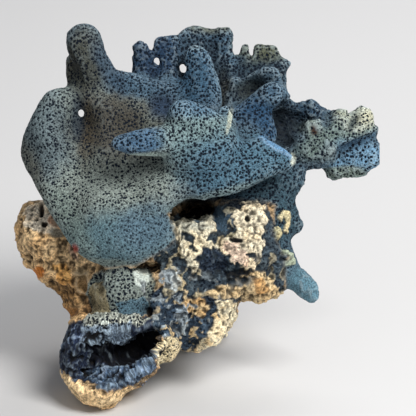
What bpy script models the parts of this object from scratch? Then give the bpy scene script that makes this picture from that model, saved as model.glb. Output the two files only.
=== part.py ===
"""Blue ridge coral: a loose colony of blue coral with the lump of limestone it grew over.

The colony is laid out on its face plane, in millimetres: across to the right, up along the
face, and depth away from the viewer. The face plane leans back from upright, so the finished
body is turned by LEAN and set down on the flat cut under its foot.

Each form is a sheet, a finger or a lump. All of them are fused into one skin, as the real
colony is, and that skin is then parted at its main forks.
"""

import math

import bmesh
import bpy
import numpy as np
from mathutils import Matrix, Vector, noise

# Driving dimensions, in millimetres unless they say otherwise. The gap is left between
# neighbouring pieces.
METRES_PER_MM = 0.001
LEAN = math.radians(20.0)
SHEET_THICKNESS = 12.0
GAP = 0.3

# How finely the forms are fused, in millimetres, how far the fused skin is softened, and the
# edge in metres below which two of its points become one.
SHEET_CELL = 2.2
FUSE_CELL = 1.5
SOFTENING_PASSES = 7
DEPTH_REACH = 7.0
COLONY_TRIANGLES = 6200
SHORTEST_EDGE = 0.00001

# The flat cut's height over the face plane's origin, in metres.
FLOOR = 0.006


def clear_scene():
    for obj in list(bpy.data.objects):
        bpy.data.objects.remove(obj, do_unlink=True)


def add_object(name, mesh):
    obj = bpy.data.objects.new(name, mesh)
    bpy.context.scene.collection.objects.link(obj)
    return obj


def evaluated_copy(obj, name):
    """The mesh that an object's modifiers make, as a mesh of its own."""
    graph = bpy.context.evaluated_depsgraph_get()
    mesh = bpy.data.meshes.new_from_object(obj.evaluated_get(graph))
    mesh.name = name
    return mesh


def points_of(mesh):
    points = np.empty(len(mesh.vertices) * 3, np.float32)
    mesh.vertices.foreach_get("co", points)
    return points.reshape(-1, 3).astype(np.float64)


def set_points(mesh, points):
    mesh.vertices.foreach_set("co", points.astype(np.float32).ravel())
    mesh.update()


def voxel_skin(mesh, cell, passes, name):
    """One closed skin around everything in the mesh, softened by the given number of passes."""
    obj = add_object(name, mesh)
    remesh = obj.modifiers.new("Fuse", "REMESH")
    remesh.mode = "VOXEL"
    remesh.voxel_size = cell
    if passes:
        soften = obj.modifiers.new("Soften", "SMOOTH")
        soften.factor = 0.5
        soften.iterations = passes
    skin = evaluated_copy(obj, name)
    bpy.data.objects.remove(obj)
    return skin


def blended(points, knots, column):
    """A value at each (across, up) point: the knots' values, weighted by nearness."""
    at = np.array([knot[:2] for knot in knots], float)
    values = np.array([knot[column] for knot in knots], float)
    squared = ((points[:, None, :] - at[None, :, :]) ** 2).sum(axis=2)
    weights = 1.0 / (squared + DEPTH_REACH**2) ** 2
    return (weights * values).sum(axis=1) / weights.sum(axis=1)


def smooth_loop(corners, steps=4):
    """A closed loop of points on a Catmull-Rom curve through the corners."""
    p1 = np.array(corners, float)
    p0, p2, p3 = np.roll(p1, 1, axis=0), np.roll(p1, -1, axis=0), np.roll(p1, -2, axis=0)
    loops = []
    for step in range(steps):
        t = step / steps
        loops.append(
            0.5
            * (
                2 * p1
                + (p2 - p0) * t
                + (2 * p0 - 5 * p1 + 4 * p2 - p3) * t**2
                + (3 * p1 - p0 - 3 * p2 + p3) * t**3
            )
        )
    return np.stack(loops, axis=1).reshape(-1, 2)


def distance_to_lines(points, starts, ends):
    """The distance from each point to the nearest of the straight lines."""
    along = ends - starts
    reach = points[:, None, :] - starts[None, :, :]
    length_squared = np.maximum((along**2).sum(axis=1), 1e-9)
    share = np.clip((reach * along).sum(axis=2) / length_squared, 0.0, 1.0)
    off = reach - share[:, :, None] * along
    return np.sqrt((off**2).sum(axis=2)).min(axis=1)


def sheet(outline, knots, thickness=SHEET_THICKNESS, edge=None, creases=()):
    """A lobed plate. Its outline is (across, up) points; knots are (across, up, depth), where
    the plate's middle layer lies. The rim is rounded over the edge width. A crease is
    (across, up) to (across, up), then how far it is pushed back and how wide it is."""
    edge = edge or thickness / 2
    loop = smooth_loop(outline)
    shape = bmesh.new()
    rim = [shape.verts.new((across, up, -thickness / 2)) for across, up in loop]
    face = shape.faces.new(rim)
    raised = bmesh.ops.extrude_face_region(shape, geom=[face])["geom"]
    upper = [item for item in raised if isinstance(item, bmesh.types.BMVert)]
    bmesh.ops.translate(shape, vec=(0, 0, thickness), verts=upper)
    bmesh.ops.recalc_face_normals(shape, faces=shape.faces)
    slab = bpy.data.meshes.new("sheet")
    shape.to_mesh(slab)
    shape.free()
    skin = voxel_skin(slab, SHEET_CELL, 0, "sheet")
    points = points_of(skin)
    across_up = points[:, :2]
    inward = distance_to_lines(across_up, loop, np.roll(loop, -1, axis=0))
    rounding = np.sqrt(1.0 - (1.0 - np.clip(inward / edge, 0.0, 1.0)) ** 2)
    depth = blended(across_up, knots, 2) + points[:, 2] * rounding
    for start_across, start_up, end_across, end_up, push, width in creases:
        start = np.array([[start_across, start_up]], float)
        end = np.array([[end_across, end_up]], float)
        depth += push * np.exp(-((distance_to_lines(across_up, start, end) / width) ** 2))
    set_points(skin, np.column_stack([points[:, 0], depth, points[:, 1]]))
    return skin


def lump(centre, radii, turn=0.0):
    """An ellipsoid. Its radii are across, depth and up, and turn is in degrees in the face plane."""
    across, up, depth = centre
    shape = bmesh.new()
    bmesh.ops.create_icosphere(shape, subdivisions=3, radius=1.0)
    place = (
        Matrix.Translation((across, depth, up))
        @ Matrix.Rotation(math.radians(-turn), 4, "Y")
        @ Matrix.Diagonal((radii[0], radii[1], radii[2], 1.0))
    )
    shape.transform(place)
    mesh = bpy.data.meshes.new("lump")
    shape.to_mesh(mesh)
    shape.free()
    return mesh


def finger(stations, flat=1.0):
    """A branch through (across, up, depth, radius) stations. Flat scales its depth radius."""
    shape = bmesh.new()
    for start, end in zip(stations, stations[1:]):
        length = math.dist(start[:3], end[:3])
        steps = max(1, math.ceil(length / (0.3 * min(start[3], end[3]))))
        for step in range(steps + 1):
            share = step / steps
            across, up, depth, radius = (
                a + (b - a) * share for a, b in zip(start, end)
            )
            ball = bmesh.ops.create_icosphere(shape, subdivisions=2, radius=1.0)
            place = Matrix.Translation((across, depth, up)) @ Matrix.Diagonal(
                (radius, radius * flat, radius, 1.0)
            )
            bmesh.ops.transform(shape, matrix=place, verts=ball["verts"])
    mesh = bpy.data.meshes.new("finger")
    shape.to_mesh(mesh)
    shape.free()
    return mesh


def rough(mesh, height, size, seed):
    """The mesh with crags: each point moves along its normal by layered noise."""
    shift = Vector((seed * 17.3, seed * 5.1, seed * 9.7))
    for vertex in mesh.vertices:
        at = vertex.co / size + shift
        crag = noise.ridged_multi_fractal(at, 0.9, 2.1, 3, 0.9, 2.0) - 1.2
        vertex.co += vertex.normal * height * (crag + 0.5 * noise.noise(at * 0.5))
    mesh.update()
    return mesh


def joined(meshes, name):
    """Several meshes as one, not yet fused."""
    shape = bmesh.new()
    for mesh in meshes:
        shape.from_mesh(mesh)
    whole = bpy.data.meshes.new(name)
    shape.to_mesh(whole)
    shape.free()
    return whole


def shield():
    """The broad front plate with its left wing and the rounded lobe at its foot."""
    outline = [
        (-65, 157), (-72, 156), (-78, 153), (-82, 146), (-86, 138), (-89, 131),
        (-90, 124), (-88, 117), (-84, 110), (-80, 103), (-76, 96), (-70, 86),
        (-64, 77), (-56, 70), (-46, 67), (-34, 67), (-24, 71), (-15, 75),
        (-12, 81), (-13, 87), (-16, 93), (-10, 98), (-4, 101), (8, 102),
        (19, 104), (22, 115), (18, 135), (8, 148), (2, 156), (-5, 161),
        (-14, 159), (-25, 161), (-33, 164), (-42, 165), (-52, 160),
    ]
    knots = [
        (-88, 127, -5), (-76, 132, -15), (-76, 148, -9), (-62, 138, -8),
        (-62, 120, -15), (-70, 100, -21), (-48, 142, -10), (-34, 140, -5),
        (-44, 118, -17), (-47, 96, -31), (-40, 78, -34), (-42, 67, -27),
        (-18, 80, -27), (-18, 102, -30), (4, 108, -26), (4, 130, -22),
        (18, 110, -20), (-40, 158, 1), (-22, 156, 2), (-8, 156, 3), (-22, 126, -15),
    ]
    creases = [
        (-63, 156, -59, 140, 6.0, 7.0), (-59, 140, -60, 122, 5.0, 7.0),
        (-34, 146, -28, 124, 2.0, 14.0),
    ]
    return [sheet(outline, knots, creases=creases)]


def horn():
    """The stout finger that stands on the plate's left shoulder, with a small one behind it."""
    return [
        finger(
            [
                (-49, 150, 2, 13.0), (-51, 159, -2, 10.8), (-54, 168, -6, 9.0),
                (-57, 175, -8, 9.6), (-58, 179, -8, 10.0),
            ],
            flat=0.85,
        ),
        finger([(-60, 154, 2, 6.0), (-62, 161, 3, 5.5), (-63, 170, 4, 4.8)]),
    ]


def front_finger():
    """The finger that reaches left across the plate."""
    return [
        finger(
            [
                (-41.5, 127.5, -43, 3.6), (-39, 128, -43, 4.6), (-34, 127.5, -43, 6.0),
                (-27, 128.5, -42, 7.4), (-19, 129, -40, 8.0), (-12, 129, -34, 8.5),
            ]
        )
    ]


def knuckle():
    """The thick rounded lobe right of the front finger, with a thin broken edge behind it."""
    outline = [
        (-16, 144), (-12, 149), (-6, 150), (2, 147), (9, 143), (14, 139), (18, 132),
        (20, 126), (18, 121), (18, 115), (12, 110), (0, 108), (-12, 110), (-18, 118),
        (-19, 130),
    ]
    knots = [
        (-10, 145, -33), (0, 142, -30), (14, 136, -27), (-12, 125, -32),
        (2, 120, -33), (16, 120, -30), (0, 110, -27), (-14, 112, -27),
    ]
    splinter = [(9, 142), (11, 148), (14, 149), (16, 144), (19, 138), (18, 128), (10, 128)]
    return [
        sheet(outline, knots, thickness=16.0, edge=9.0),
        lump((-9, 142, -36), (7.5, 8.0, 7.5)),
        sheet(splinter, [(10, 140, -20), (18, 135, -19)], thickness=5.0),
    ]


def lower_plate():
    """The plate under the knuckle that runs out to a broken tip on the right."""
    outline = [
        (-6, 112), (2, 122), (16, 126), (28, 132), (34, 129), (40, 126), (47, 121),
        (46, 115), (38, 112), (31, 109), (25, 106), (18, 103), (8, 101), (-4, 101),
    ]
    knots = [
        (-4, 106, -29), (10, 112, -31), (28, 126, -22), (30, 112, -27), (46, 118, -18),
    ]
    return [sheet(outline, knots, thickness=10.0)]


def middle_plate():
    """The upright plate behind the knuckle, with the knobbed branch at its top."""
    outline = [
        (12, 122), (14, 144), (20, 147), (28, 148), (34, 149), (36, 142), (39, 134),
        (39, 129), (34, 127), (24, 120),
    ]
    knots = [(16, 140, -9), (34, 146, -6), (37, 132, -8), (24, 128, -13)]
    return [
        sheet(outline, knots, thickness=9.0),
        finger([(22, 143, -6, 5.0), (29, 149, -6, 5.6), (36, 153, -7, 6.8)]),
    ]


def cup():
    """The curved plate whose rim makes a pocket above the middle plate."""
    outline = [
        (13, 163), (18, 163), (23, 162), (30, 167), (38, 168), (41, 164), (42, 158),
        (47, 152), (45, 149), (40, 148), (34, 142), (24, 138), (14, 138), (8, 148),
        (8, 158),
    ]
    knots = [
        (14, 162, 12), (23, 161, 9), (32, 167, 3), (40, 166, 1), (28, 155, 14),
        (20, 150, 14), (46, 151, 6), (30, 142, 6), (14, 142, 8),
    ]
    return [sheet(outline, knots, thickness=8.0)]


def thumb():
    """The flattened finger that rises behind the plate's top ridge."""
    return [
        finger(
            [
                (2, 150, -2, 9.0), (1, 160, 1, 8.5), (-1, 168, 3, 8.0),
                (-2, 172, 4, 6.5),
            ],
            flat=0.8,
        ),
        finger([(6, 148, -4, 6.0), (7, 157, -2, 4.0)]),
    ]


def back_fingers():
    """Two short fingers behind the ridge, fused at the root and touching near their tips."""
    return [
        finger([(-28, 152, 8, 6.5), (-29, 164, 12, 5.4), (-30, 176, 13, 4.7)]),
        finger([(-15, 152, 8, 8.0), (-16, 166, 14, 6.8), (-16, 174, 16, 6.4)]),
        finger([(-19, 174, 15, 4.5), (-20, 180, 16, 3.4)]),
        finger([(-15, 176, 16, 4.5), (-14, 181, 16, 3.6)]),
        lump((-23.5, 175, 14), (3.6, 3.4, 4.2)),
    ]


def crest():
    """The tall plate at the top and the row of small tan-tipped fingers to its right."""
    outline = [
        (-9.5, 185), (-7, 188.5), (-4, 187.5), (-1, 189), (3, 187), (8, 187.5),
        (13, 188), (17, 187), (18, 183), (16.5, 176), (17, 168), (20, 158),
        (18, 148), (6, 146), (-6, 150), (-9, 165), (-9.5, 176),
    ]
    knots = [
        (-8, 186, 20), (3, 187, 23), (16, 186, 20), (16, 168, 19), (0, 165, 18),
        (8, 150, 14), (6, 178, 24),
    ]
    furrow = [(6.5, 190, 6.0, 158, 3.5, 2.6)]
    back = [
        (18, 140), (16, 158), (20, 170), (28, 172), (38, 171), (44, 163), (44, 152),
        (36, 140),
    ]
    return [
        sheet(outline, knots, thickness=9.0, creases=furrow),
        sheet(back, [(20, 150, 18), (30, 165, 23), (42, 160, 20)], thickness=8.0),
        finger([(21, 162, 22, 4.0), (22, 172, 23, 3.4), (22, 177, 23, 3.2)]),
        finger([(28, 162, 22, 5.0), (28, 173, 24, 4.4), (29, 176, 24, 4.0)]),
        finger([(34, 162, 22, 5.0), (35, 172, 24, 4.4), (36, 175, 24, 3.8)]),
        finger([(38, 162, 22, 4.5), (41, 169, 24, 3.6), (45, 169, 25, 2.2)]),
    ]


def right_arm():
    """The arm that reaches right: a hollow at its root, a long branch and a hanging plate."""
    hollow_wall = [
        (36, 150), (44, 152), (50, 148), (54, 151), (62, 148), (70, 145), (76, 140),
        (74, 132), (62, 130), (52, 122), (42, 118), (34, 124),
    ]
    wall_knots = [
        (42, 150, 12), (54, 150, 20), (72, 142, 17), (50, 136, 24), (40, 124, 14),
        (62, 136, 20), (36, 136, 12),
    ]
    branch = [
        (45, 124), (50, 134), (55, 139), (61, 140), (68, 139), (73, 142), (76, 145),
        (81, 145), (85, 141), (88, 137), (90, 132), (86, 130), (75, 126), (67, 122),
        (59, 118), (50, 119),
    ]
    branch_knots = [
        (48, 124, 0), (56, 134, -2), (70, 132, 0), (80, 140, 4), (88, 134, 6),
        (60, 122, 0),
    ]
    hanging = [
        (60, 122), (70, 128), (80, 132), (89, 131), (90.5, 124), (90, 118), (86, 116),
        (84, 112), (79, 110), (72, 111), (67, 109), (63, 111), (62, 115),
    ]
    hanging_knots = [(66, 114, 12), (78, 120, 10), (88, 122, 9), (80, 130, 10)]
    return [
        sheet(hollow_wall, wall_knots, thickness=8.0),
        sheet(branch, branch_knots, thickness=10.0),
        sheet(hanging, hanging_knots, thickness=11.0),
        finger([(79, 140, 6, 4.2), (82, 144, 6, 3.6)]),
        finger([(58, 144, 16, 4.0), (55, 149, 18, 3.6)]),
        finger([(36, 114, 2, 9.0), (48, 120, 5, 8.0), (60, 124, 6, 7.0)]),
        finger([(60, 130, 2, 5.0), (65, 137, 10, 5.0), (67, 140, 17, 4.0)]),
    ]


def right_cluster():
    """The knobbly mass under the arm, down to the lower right finger."""
    outline = [
        (14, 108), (24, 112), (34, 114), (44, 115), (52, 115), (53, 109), (51, 105),
        (47, 102), (48, 96), (52, 89), (51, 85), (45, 81), (40, 76), (35, 70),
        (26, 68), (14, 72), (10, 90),
    ]
    knots = [
        (20, 104, 0), (40, 110, 0), (48, 108, 2), (44, 90, 0), (30, 85, -4),
        (20, 80, 0), (36, 74, 0),
    ]
    return [
        sheet(outline, knots, thickness=16.0),
        lump((47, 88, 0), (5.0, 6.0, 5.0)),
        lump((30, 78, -10), (7.0, 5.0, 8.0)),
    ]


def low_finger():
    """The smooth stub that points down and right from the limestone."""
    return [
        finger(
            [
                (32, 70, 2, 8.0), (42, 64, 2, 7.2), (50, 59, 1, 5.6),
                (55, 54.5, 0, 5.2), (56, 52.5, 0, 5.0),
            ]
        )
    ]


def limestone():
    """The lump that the colony grew over: left shoulder, middle column, and the foot."""
    left = [
        (-87, 95), (-80, 97), (-70, 96), (-56, 92), (-40, 80), (-30, 60), (-34, 46),
        (-45, 41), (-58, 41), (-64, 45), (-69, 53), (-74, 60), (-80, 66), (-87, 69),
        (-85, 75), (-89, 79), (-91, 87),
    ]
    left_knots = [(-88, 88, 8), (-70, 80, 2), (-50, 65, -4), (-60, 50, 2)]
    middle = [
        (-26, 86), (-14, 88), (-6, 86), (4, 88), (12, 98), (30, 98), (42, 80), (48, 66), (40, 56),
        (30, 52), (22, 53), (16, 51), (15, 44), (12, 37), (5, 30), (-4, 26),
        (-12, 28), (-22, 40), (-30, 60),
    ]
    middle_knots = [
        (-18, 80, -8), (6, 90, -6), (30, 85, -4), (36, 62, 0), (10, 60, -8),
        (0, 35, -2), (-20, 55, -12),
    ]
    foot = [
        (-61, 42), (-65, 34), (-68, 26), (-68, 18), (-65, 11), (-60, 4), (-53, -1),
        (-46, -3), (-41, 1), (-38, 6), (-31, 10), (-25, 14), (-22, 20), (-15, 27),
        (-13, 32), (-14, 38), (-20, 42), (-40, 46),
    ]
    foot_knots = [(-60, 30, -14), (-50, 5, -20), (-30, 20, -16), (-16, 34, -10)]
    return [
        rough(sheet(left, left_knots, thickness=30.0, edge=10.0), 3.6, 8.0, 1),
        rough(sheet(middle, middle_knots, thickness=26.0, edge=8.0), 3.6, 8.0, 2),
        rough(sheet(foot, foot_knots, thickness=42.0, edge=9.0), 2.4, 7.0, 3),
        lump((-39, 55, -20), (14, 14, 13)),
        rough(lump((-15, 27, -16), (5, 7, 8)), 1.0, 5.0, 4),
        rough(lump((3, 40, -14), (10, 8, 14)), 2.0, 6.0, 5),
        rough(lump((20, 76, -17), (15, 7, 17), turn=20), 3.0, 7.0, 6),
        rough(lump((-2, 76, -19), (12, 7, 15), turn=-15), 3.0, 7.0, 7),
        rough(lump((26, 58, -10), (15, 10, 5)), 2.2, 6.0, 8),
        rough(lump((34, 92, -8), (6, 5, 8)), 1.6, 5.0, 9),
        rough(lump((-77, 82, -6), (12, 10, 12)), 3.0, 7.0, 14),
        rough(lump((-58, 60, -6), (12, 10, 14)), 3.0, 7.0, 15),
    ]


def back_of_colony():
    """What the front hides: the limestone core, the rear foot, and plates on the back."""
    rear_sheet = [
        (-66, 104), (-70, 116), (-64, 128), (-54, 137), (-46, 146), (-36, 156),
        (-24, 154), (-14, 146), (4, 150), (20, 146), (34, 138), (38, 122),
        (34, 104), (20, 94), (-20, 90), (-50, 92),
    ]
    rear_knots = [
        (-66, 118, 22), (-40, 140, 32), (-20, 120, 40), (10, 140, 34), (30, 120, 28),
        (-10, 100, 40),
    ]
    return [
        rough(lump((-24, 86, 22), (48, 34, 34)), 4.0, 12.0, 10),
        rough(lump((-34, 60, 34), (34, 30, 30)), 4.0, 11.0, 11),
        rough(lump((-46, 26, 16), (20, 26, 24)), 3.0, 9.0, 16),
        rough(lump((-34, 38, 40), (24, 26, 20)), 3.5, 10.0, 12),
        rough(lump((-7, 36, 66), (21, 20, 20)), 3.0, 9.0, 17),
        rough(lump((-12, 58, 62), (22, 20, 18)), 3.0, 9.0, 18),
        rough(lump((4, 112, 18), (34, 22, 24)), 3.0, 12.0, 13),
        lump((42, 136, 27), (12, 5, 14)),
        sheet(rear_sheet, rear_knots, thickness=11.0),
        finger([(-46, 118, 30, 8.0), (-48, 130, 42, 6.5), (-49, 140, 50, 5.5)]),
        finger([(-10, 120, 40, 9.0), (-12, 134, 50, 7.0), (-16, 144, 56, 5.5)]),
        finger([(20, 110, 34, 8.0), (26, 122, 44, 6.5), (30, 132, 48, 5.0)]),
        finger([(-36, 90, 48, 8.0), (-44, 98, 58, 6.0), (-48, 106, 62, 4.5)]),
        finger([(6, 90, 46, 8.0), (12, 96, 56, 6.0), (14, 104, 60, 4.6)]),
        finger([(-20, 130, 10, 14.0), (-20, 130, 36, 12.0)]),
        finger([(10, 125, -10, 12.0), (14, 125, 30, 10.0)]),
        finger([(40, 130, 12, 9.0), (30, 120, 28, 9.0)]),
        finger([(20, 150, 14, 8.0), (14, 140, 30, 8.0)]),
    ]


FORMS = [
    shield, horn, front_finger, knuckle, lower_plate, middle_plate, cup, thumb,
    back_fingers, crest, right_arm, right_cluster, low_finger, limestone,
    back_of_colony,
]


def block(centre, size, turn, tilt):
    """A box. Turn is in the face plane and tilt leans its under side back, both in degrees."""
    across, up, depth = centre
    shape = bmesh.new()
    bmesh.ops.create_cube(shape, size=1.0)
    place = (
        Matrix.Translation((across, depth, up))
        @ Matrix.Rotation(math.radians(-turn), 4, "Y")
        @ Matrix.Rotation(math.radians(tilt), 4, "X")
        @ Matrix.Diagonal((size[0], size[1], size[2], 1.0))
    )
    shape.transform(place)
    mesh = bpy.data.meshes.new("block")
    shape.to_mesh(mesh)
    shape.free()
    return mesh


def hollows():
    """The caves, pits and broken faces that are open in the grown mass."""
    return [
        lump((-2, 94, 4), (11, 26, 7), turn=10),
        lump((-44, 22, -38), (24, 13, 12.5), turn=24),
        lump((-29, 29, -26), (13, 18, 6), turn=35),
        lump((-54, 16, -30), (8, 9, 5), turn=30),
        lump((-2, 29, -16), (7, 12, 3)),
        lump((-83, 91, -16), (3.6, 7, 3.2)),
        lump((-79, 85, -16), (3.2, 7, 2.6)),
        lump((-86, 71, -4), (5, 8, 3.4), turn=-30),
        lump((-70, 73, -18), (2.6, 5, 2.6)),
        lump((-49, 56, -26), (2.6, 7, 4)),
        lump((41, 136, 6), (8, 10, 10)),
        lump((25, 155, 4), (9, 7, 7)),
        lump((36, 155, -14), (4.2, 4.2, 4.2)),
        lump((42, 72, -8), (4, 6, 4)),
        lump((12, 66, -24), (9, 6, 5), turn=-10),
        lump((-24, 66, -22), (8, 9, 3), turn=12),
        block((42, 134, -32), (26, 20, 12), turn=-29, tilt=-40),
    ]


def fused_colony():
    """All the forms as one skin, with the hollows cut out of it and the edges softened."""
    meshes = [mesh for form in FORMS for mesh in form()]
    solid = add_object("colony", voxel_skin(joined(meshes, "colony"), FUSE_CELL, 0, "colony"))
    cutter = add_object("hollows", voxel_skin(joined(hollows(), "hollows"), FUSE_CELL, 0, "hollows"))
    cut = solid.modifiers.new("Hollows", "BOOLEAN")
    cut.operation = "DIFFERENCE"
    cut.object = cutter
    carved = evaluated_copy(solid, "carved")
    bpy.data.objects.remove(solid)
    bpy.data.objects.remove(cutter)
    return voxel_skin(carved, FUSE_CELL, SOFTENING_PASSES, "colony")


def stand_up(mesh):
    """From the face plane's millimetres to metres, leaning back over the foot."""
    mesh.transform(Matrix.Scale(METRES_PER_MM, 4) @ Matrix.Rotation(-LEAN, 4, "X"))


def faceted(mesh, triangles):
    """The mesh with its facets merged down to about the given number of triangles."""
    obj = add_object("colony", mesh)
    merge = obj.modifiers.new("Facets", "DECIMATE")
    merge.ratio = triangles / len(mesh.polygons) / 2.0
    coarse = evaluated_copy(obj, "colony")
    bpy.data.objects.remove(obj)
    return coarse


def grown(outline, distance):
    """The outline with every side moved outward by the distance."""
    corners = np.array(outline, float)
    following = np.roll(corners, -1, axis=0)
    sides = following - corners
    turning = (corners[:, 0] * following[:, 1] - corners[:, 1] * following[:, 0]).sum()
    outward = np.column_stack([sides[:, 1], -sides[:, 0]]) * math.copysign(1.0, turning)
    outward /= np.linalg.norm(outward, axis=1)[:, None]
    previous = np.roll(outward, 1, axis=0)
    mitre = (outward + previous) / (1.0 + (outward * previous).sum(axis=1))[:, None]
    return corners + mitre * distance


def region(outline, near, far, slope=0.0, margin=0.0):
    """A prism over an outline in the face plane, from the near depth to the far depth. The
    slope is how much deeper the far side lies for each millimetre up."""
    corners = grown(outline, margin)
    shape = bmesh.new()
    front = [shape.verts.new((across, near - margin, up)) for across, up in corners]
    back = [
        shape.verts.new((across, far + slope * up + margin, up)) for across, up in corners
    ]
    shape.faces.new(front)
    shape.faces.new(back)
    for index, corner in enumerate(front):
        following = (index + 1) % len(front)
        shape.faces.new((corner, front[following], back[following], back[index]))
    bmesh.ops.recalc_face_normals(shape, faces=shape.faces)
    mesh = bpy.data.meshes.new("region")
    shape.to_mesh(mesh)
    shape.free()
    stand_up(mesh)
    return mesh


def combined(mesh, tool, operation):
    """The mesh with the tool's shape taken from it or kept from it."""
    body = add_object("body", mesh)
    cutter = add_object("cutter", tool)
    step = body.modifiers.new("Cut", "BOOLEAN")
    step.operation = operation
    step.solver = "MANIFOLD"
    step.object = cutter
    result = evaluated_copy(body, "cut")
    bpy.data.objects.remove(body)
    bpy.data.objects.remove(cutter)
    return result


def largest_body(mesh):
    """The mesh in triangles, without the crumbs that a cut leaves loose or touching at a line."""
    shape = bmesh.new()
    shape.from_mesh(mesh)
    bmesh.ops.triangulate(shape, faces=shape.faces)
    bmesh.ops.remove_doubles(shape, verts=shape.verts, dist=SHORTEST_EDGE)
    unseen = set(shape.faces)
    groups = []
    while unseen:
        group = []
        waiting = [unseen.pop()]
        while waiting:
            face = waiting.pop()
            group.append(face)
            for side in face.edges:
                if len(side.link_faces) != 2:
                    continue
                for other in side.link_faces:
                    if other in unseen:
                        unseen.remove(other)
                        waiting.append(other)
        groups.append(group)
    groups.sort(key=len)
    crumbs = [face for group in groups[:-1] for face in group]
    bmesh.ops.delete(shape, geom=crumbs, context="FACES")
    shape.to_mesh(mesh)
    shape.free()
    return mesh


# Where the colony parts: name, outline (across, up), near depth, far depth, and how much
# deeper the far side lies for each millimetre up.
FORKS = [
    ("left_horn", [(-84, 157), (-42, 161), (-42, 192), (-84, 192)], -40, 18, 0.0),
    ("cross_finger", [(-60, 115), (-19, 115), (-19, 141), (-60, 141)], -70, -31.5, 0.0),
    (
        "knuckle_lobe",
        [(-18.7, 116), (-10, 107), (8, 106), (21, 113), (21, 152), (-18.7, 152)],
        -70, -25.5, 0.0,
    ),
    (
        "lower_plate",
        [(21.4, 98), (52, 98), (52, 136), (26, 136), (21.4, 126)],
        -60, -11, 0.0,
    ),
    ("thumb", [(-11, 157), (10, 157), (10, 182), (-11, 182)], -14, 9.5, 0.0),
    ("back_fingers", [(-40, 160), (-11, 160), (-11, 188), (-40, 188)], 2, 40, 0.0),
    ("crest_plate", [(-10.6, 160), (20, 160), (20, 194), (-10.6, 194)], 9, 40, 0.0),
    ("crest_fingers", [(20.4, 164), (50, 164), (50, 184), (20.4, 184)], 14, 40, 0.0),
    ("right_arm", [(51, 114), (60, 104), (98, 104), (98, 160), (51, 160)], -40, 60, 0.0),
    ("low_finger", [(43, 78), (33, 56), (56, 40), (72, 58)], -20, 20, 0.0),
    ("right_knobs", [(37, 74), (60, 70), (59, 104), (50.6, 114), (37, 114)], -30, 30, 0.0),
    (
        "middle_plate",
        [(21.4, 127), (40, 126), (47, 146), (47, 162), (21.4, 160)],
        -18, -1.4, 0.0,
    ),
    ("cup_plate", [(10, 148), (50.6, 144), (50.6, 172), (10, 168)], -1, 13.6, 0.0),
    (
        "front_plate",
        [
            (-98, 118), (-88, 110), (-79, 95), (-67, 77), (-58, 67.5), (-44, 65),
            (-32, 65), (-13, 71), (-10.5, 81), (-15, 93), (0, 99), (20.8, 102),
            (20.8, 168), (-98, 168),
        ],
        -60, -51.6, 0.42,
    ),
    ("rear_growth", [(-110, 101), (70, 101), (70, 200), (-110, 200)], -80, 120, 0.0),
]

# The small openings through the colony: centre (across, up) and radii.
WINDOWS = [
    ((-59.4, 143.4), (1.6, 2.3)),
    ((-21.6, 169.4), (1.2, 1.8)),
    ((-8.6, 166.2), (1.3, 2.0)),
]

# Each body's colour (linear red, green, blue) and roughness.
FINISHES = {
    "left_horn": ((0.10, 0.16, 0.20), 0.85),
    "cross_finger": ((0.10, 0.17, 0.24), 0.85),
    "knuckle_lobe": ((0.10, 0.17, 0.23), 0.85),
    "lower_plate": ((0.09, 0.16, 0.24), 0.85),
    "thumb": ((0.09, 0.14, 0.19), 0.85),
    "back_fingers": ((0.06, 0.12, 0.19), 0.85),
    "crest_plate": ((0.05, 0.11, 0.18), 0.85),
    "crest_fingers": ((0.12, 0.14, 0.13), 0.85),
    "right_arm": ((0.10, 0.15, 0.17), 0.85),
    "low_finger": ((0.08, 0.17, 0.26), 0.85),
    "right_knobs": ((0.08, 0.13, 0.17), 0.85),
    "middle_plate": ((0.06, 0.12, 0.20), 0.85),
    "cup_plate": ((0.06, 0.12, 0.18), 0.85),
    "front_plate": ((0.13, 0.19, 0.21), 0.85),
    "rear_growth": ((0.08, 0.13, 0.17), 0.85),
    "limestone_base": ((0.42, 0.34, 0.23), 0.95),
}


def parted(colony):
    """The colony in its named bodies, with a gap along every cut."""
    bodies = []
    rest = colony
    for name, outline, near, far, slope in FORKS:
        kept = combined(rest.copy(), region(outline, near, far, slope), "INTERSECT")
        rest = combined(rest, region(outline, near, far, slope, GAP), "DIFFERENCE")
        bodies.append((name, largest_body(kept)))
    bodies.append(("limestone_base", largest_body(rest)))
    return bodies


def window(centre, radii):
    """A small eight-sided opening that goes right through the colony."""
    outline = [
        (
            centre[0] + radii[0] * math.cos(math.radians(angle)),
            centre[1] + radii[1] * math.sin(math.radians(angle)),
        )
        for angle in range(0, 360, 45)
    ]
    return region(outline, -40.0, 60.0)


def with_windows(mesh):
    """The mesh with the light showing through beside the horn and the two back fingers."""
    for centre, radii in WINDOWS:
        mesh = combined(mesh, window(centre, radii), "DIFFERENCE")
    return mesh


def cut_flat(mesh):
    """The foot cut off flat where the colony was broken from the reef."""
    shape = bmesh.new()
    bmesh.ops.create_cube(shape, size=1.0)
    shape.transform(Matrix.Translation((0, 0, FLOOR - 0.5)))
    below = bpy.data.meshes.new("below")
    shape.to_mesh(below)
    shape.free()
    return combined(mesh, below, "DIFFERENCE")


def middle_of_cut(mesh):
    """The point on the flat cut under the middle of the mesh's box."""
    points = points_of(mesh)
    middle = (points.min(axis=0) + points.max(axis=0)) / 2
    return Vector((middle[0], middle[1], FLOOR))


def finished(name, mesh, origin):
    """The body as an object with its own material, moved so that the origin is at zero."""
    mesh.transform(Matrix.Translation(-origin))
    colour, roughness = FINISHES[name]
    material = bpy.data.materials.new(name)
    material.use_nodes = True
    shader = material.node_tree.nodes["Principled BSDF"]
    shader.inputs["Base Color"].default_value = (*colour, 1.0)
    shader.inputs["Roughness"].default_value = roughness
    mesh.materials.clear()
    mesh.materials.append(material)
    mesh.name = name
    return add_object(name, mesh)


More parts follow.
